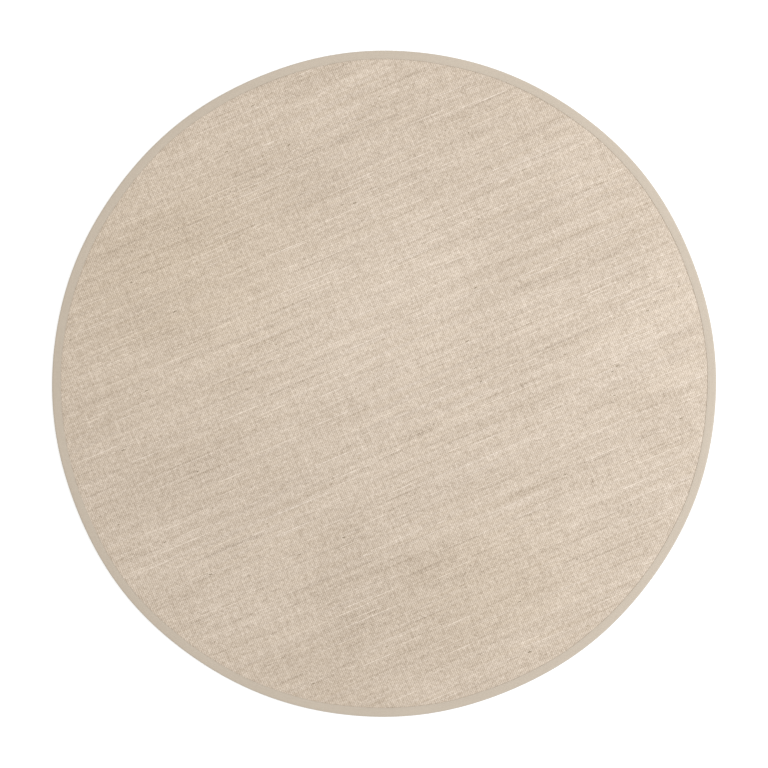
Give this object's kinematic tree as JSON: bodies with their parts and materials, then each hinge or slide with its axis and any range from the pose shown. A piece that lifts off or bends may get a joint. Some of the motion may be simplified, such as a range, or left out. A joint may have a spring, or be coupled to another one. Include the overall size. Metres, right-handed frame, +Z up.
{
  "type": "round sisal rug",
  "caption": "Flat-woven round sisal rug with a folded woven tape sewn round its cut edge; lies flat on a floor.",
  "frame": {"origin": "centre of the underside, on the floor the rug lies on", "axes": "+Z up out of the walked-on face; the longest waves of the uneven edge reach furthest at 58 and 238 degrees from +X towards +Y"},
  "size_m": [1.9978, 2.0042, 0.0066],
  "materials": {
    "sisal": "undyed sisal yarn in a fine ribbed flat weave, dry and matte, with uneven yarns",
    "cotton_tape": "fine plain-woven cotton tape, matte, a little greyer than the cloth it binds"
  },
  "bodies": {
    "root": {"sisal_field": "sisal", "edge_tape": "cotton_tape"}
  },
  "joints": []
}
